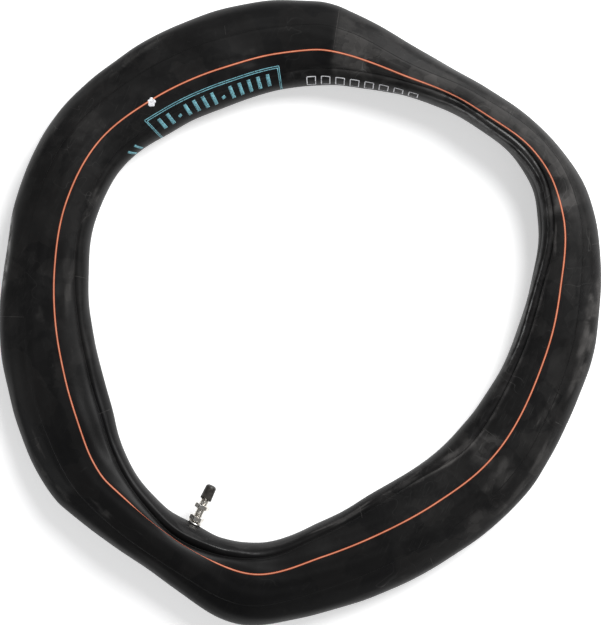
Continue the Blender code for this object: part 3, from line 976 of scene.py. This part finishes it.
VENTS = (  # degrees, and the shares of the width that each line runs between
    (142.6, 0.01, 0.10), (107.7, 0.03, 0.60), (76.5, 0.02, 0.24), (37.6, 0.0, 0.16),
    (342.0, 0.86, 0.99), (1.2, 0.02, 0.16), (311.4, 0.84, 0.96), (322.4, 0.03, 0.13),
    (21.5, 0.80, 0.93), (196.2, 0.88, 0.99), (206.0, 0.03, 0.30), (168.0, 0.02, 0.14),
    (352.0, 0.68, 0.84), (232.0, 0.86, 0.98), (130.0, 0.20, 0.30), (58.0, 0.02, 0.2),
)


def add_mark(name, mesh, material):
    """A mark that rides with the tube, from its points and faces."""
    return ride(mesh_object(name, *mesh), "tube", "butyl_rubber", material)


def make_stripe(orange, highlight_ink):
    """The orange line and the paler strip along its top, a painted highlight on the bead. Both are thinner
    beside the valve.
    """
    thin = stretch(WHOLE_RING, 254.0, 275.0, 5)
    along = around_at(orange_at(WHOLE_RING))
    stripe = strip_on_skin(WHOLE_RING, along, (1.5 - 1.2 * thin) * MM, 0.10 * MM, closed=True)
    add_mark("stripe_orange", stripe, orange)
    ridge = strip_on_skin(WHOLE_RING, along, (0.75 - 0.70 * thin) * MM, 0.15 * MM, closed=True)
    add_mark("stripe_painted_highlight", ridge, highlight_ink)


def make_mould_lines(rubber):
    """The lines where the mould's halves met, above and below."""
    above = around_at(closed_curve(MOULD_LINE, WHOLE_RING))
    beads = [
        strip_on_skin(WHOLE_RING, place, 0.55 * MM, MOULDED_LIFT, rows=3, closed=True)
        for place in (above, -above)
    ]
    add_mark("mould_lines", join(beads), rubber)


def make_vent_lines(rubber):
    """Short lines across the ring that the mould's vents left."""
    lines = [
        line_on_skin(
            (degrees, float(around_at(a))), (degrees + 0.25, float(around_at(b))), 0.45 * MM, MOULDED_LIFT
        )
        for degrees, a, b in VENTS
    ]
    add_mark("vent_lines", join(lines), rubber)


def make_size_frame(teal):
    """A plain double frame, open at the inner edge, where the size is printed on the real one."""
    outer, inner = float(around_at(0.765)), math.radians(178)
    lines = []
    for inset in (0.0, 1.3 * MM):
        shift = math.degrees(inset / (212 * MM))
        a, b, top = PRINT_START - shift, PRINT_END + shift, outer + inset / (27 * MM)
        for start, end in (
            ((a, top), (b, top)), ((a, top), (a - 0.6, inner)), ((b, top), (b - 0.4, inner)),
        ):
            lines.append(line_on_skin(start, end, 0.75 * MM, PRINT_LIFT))
    add_mark("size_frame", join(lines), teal)


def make_size_bars(teal):
    """Plain bars in the frame and two more before it. Two of the bars in the frame are short."""
    def bar(start, end, width):
        return line_on_skin(
            (start[0], math.radians(start[1])), (end[0], math.radians(end[1])), width, PRINT_LIFT
        )

    bars = []
    for k in range(13):
        degrees = PRINT_START - 2.8 - k * 2.37
        top, bottom = (142, 147) if k in (2, 7) else (131, 153)
        bars.append(bar((degrees, top), (degrees - 0.25, bottom), 3.4 * MM))
    bars.append(bar((162.4, 150), (161.2, 172), 2.2 * MM))
    bars.append(bar((160.2, 148), (159.2, 170), 2.2 * MM))
    add_mark("size_bars", join(bars), teal)


def make_batch_blocks(white):
    """A row of outlined blocks, where the batch number is stamped on the real one."""
    width = 2.1  # degrees
    top, bottom = math.radians(146), math.radians(168)
    blocks = []
    for k in range(8):
        a = 113.6 - k * 3.55
        corners = [(a, top), (a - width, top), (a - width - 0.2, bottom), (a - 0.2, bottom), (a, top)]
        blocks += [line_on_skin(p, q, 0.85 * MM, PRINT_LIFT) for p, q in zip(corners, corners[1:])]
    add_mark("batch_blocks", join(blocks), white)


def make_dab(white):
    """A dab of marking paint beside the orange line."""
    centre_angle, centre_around = math.radians(150.6), float(around_at(0.64))
    steps, rings = 40, 7
    turn = np.arange(steps) * TAU / steps
    edge = (3.4 + 0.5 * np.sin(2 * turn + 0.6) + 0.35 * np.sin(5 * turn)) * MM
    rows = [(s, 0.22 * (1 - s ** 3)) for s in np.linspace(0.02, 1, rings)] + [(1.0, -0.25), (0.02, -0.25)]
    points = []
    for share, lift in rows:
        a = centre_angle + edge * share * np.cos(turn) / (227 * MM)
        b = centre_around + edge * share * 1.15 * np.sin(turn) / (38 * MM)
        points.append(skin(a, b, lift * MM))
    faces = turned_over(grid_faces(len(rows), steps))
    add_mark("paint_dab", (np.concatenate(points), faces), white)


# ---------------------------------------------------------------- the studio

def make_camera():
    """Straight above, turned so that the picture's right is 25 degrees round from +X."""
    data = bpy.data.cameras.new("camera")
    data.lens = 120
    data.sensor_width = 36
    seen, plane = 556.9 * MM, 24 * MM
    camera = bpy.data.objects.new("camera", data)
    camera.location = (10.06 * MM, 7.08 * MM, plane + seen * data.lens / data.sensor_width)
    camera.rotation_euler = (0, 0, math.radians(25))
    bpy.context.scene.collection.objects.link(camera)
    bpy.context.scene.camera = camera


def add_light(name, azimuth, elevation, distance, size, power):
    """A round soft light, aimed at the origin from that way and that far off."""
    data = bpy.data.lights.new(name, "AREA")
    data.shape = "DISK"
    data.size = size
    data.energy = power
    light = bpy.data.objects.new(name, data)
    a, e = math.radians(azimuth), math.radians(elevation)
    light.location = (
        distance * math.cos(e) * math.cos(a), distance * math.cos(e) * math.sin(a), distance * math.sin(e)
    )
    light.rotation_euler = (0, math.pi / 2 - e, a)
    bpy.context.scene.collection.objects.link(light)


def make_studio():
    """A pale paper floor and a white room, which the camera sees brighter than the tube does."""
    n = Nodes("floor_paper")
    tone = n.noise(n.place(), 3.0, 2.0)
    paper = n.finish(
        Base_Color=n.mix(tone, (0.86, 0.86, 0.86), (0.88, 0.88, 0.88)), Roughness=0.9,
        Specular_IOR_Level=0.1, Emission_Color=(1.0, 1.0, 1.0, 1.0), Emission_Strength=0.48,
    )
    bpy.ops.mesh.primitive_plane_add(size=14)
    floor = bpy.context.object
    floor.name = "floor"
    floor.data.materials.append(paper)

    world = bpy.data.worlds.new("studio")
    bpy.context.scene.world = world
    world.use_nodes = True
    tree = world.node_tree
    background = tree.nodes["Background"]
    background.inputs["Color"].default_value = (0.92, 0.93, 0.95, 1)
    path = tree.nodes.new("ShaderNodeLightPath")
    strength = tree.nodes.new("ShaderNodeMapRange")
    tree.links.new(path.outputs["Is Camera Ray"], strength.inputs["Value"])
    strength.inputs["To Min"].default_value = 0.22
    strength.inputs["To Max"].default_value = 0.95
    tree.links.new(strength.outputs["Result"], background.inputs["Strength"])

    add_light("key", 72, 42, 2.4, 1.6, 88)
    add_light("fill", 226, 32, 2.4, 0.6, 6)
    add_light("rim", 325, 28, 2.6, 1.3, 6)
    bpy.context.scene.view_settings.view_transform = "Standard"


def main():
    make_camera()
    make_studio()

    rubber = rubber_material("butyl_rubber_worn")
    line_rubber = rubber_material("rubber_line", 0.02)
    # a pale rubber for the vent lines: a painted highlight on them
    vent_highlight_rubber = rubber_material("rubber_vent_highlight", 1.6)
    pad_rubber = rubber_material("pad_rubber", 0.35)
    nickel = metal_material("nickel_plated", (0.80, 0.78, 0.74), (0.55, 0.51, 0.45), 0.12, 0.34)
    brass = metal_material("brass_turned", (0.78, 0.58, 0.26), (0.52, 0.36, 0.15), 0.20, 0.42)
    steel = metal_material("steel_wire", (0.60, 0.60, 0.61), (0.40, 0.40, 0.42), 0.22, 0.40)
    plastic = plastic_material("cap_moulded", (0.018, 0.016, 0.014), (0.045, 0.040, 0.034))
    orange = ink_material("orange_line", (0.54, 0.100, 0.036), (0.46, 0.080, 0.028), 0.2)
    # a paler orange for the strip along the line's top: a painted highlight
    highlight_ink = ink_material("orange_painted_highlight", (0.66, 0.34, 0.215), (0.58, 0.29, 0.180), 0.2)
    teal = ink_material("teal_print", (0.17, 0.42, 0.48), (0.11, 0.28, 0.33), 0.38)
    white = ink_material("white_print", (0.82, 0.82, 0.84), (0.60, 0.60, 0.63), 0.34)

    tube = make_tube()
    ride(tube, "tube", "butyl_rubber", rubber, "inner_tube")
    make_stripe(orange, highlight_ink)
    make_mould_lines(line_rubber)
    make_vent_lines(vent_highlight_rubber)
    make_size_frame(teal)
    make_size_bars(teal)
    make_batch_blocks(white)
    make_dab(white)

    make_patch(pad_rubber)
    make_washer(nickel)
    make_stem(nickel)
    make_nut("base_hexagon", "base_nut", "base_nut", nickel)
    make_nut("rim_hexagon", "rim_nut", "rim_nut", nickel)
    make_cap(plastic)
    make_spring(steel)
    for node, material in (
        ("cap_seal", pad_rubber), ("core_barrel_seal", pad_rubber), ("core_cup_seal", pad_rubber),
        ("core_plug", brass), ("core_barrel", brass), ("core_pin", brass), ("core_cup", brass),
    ):
        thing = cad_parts[node]
        thing.data.materials.clear()
        thing.data.materials.append(material)


main()
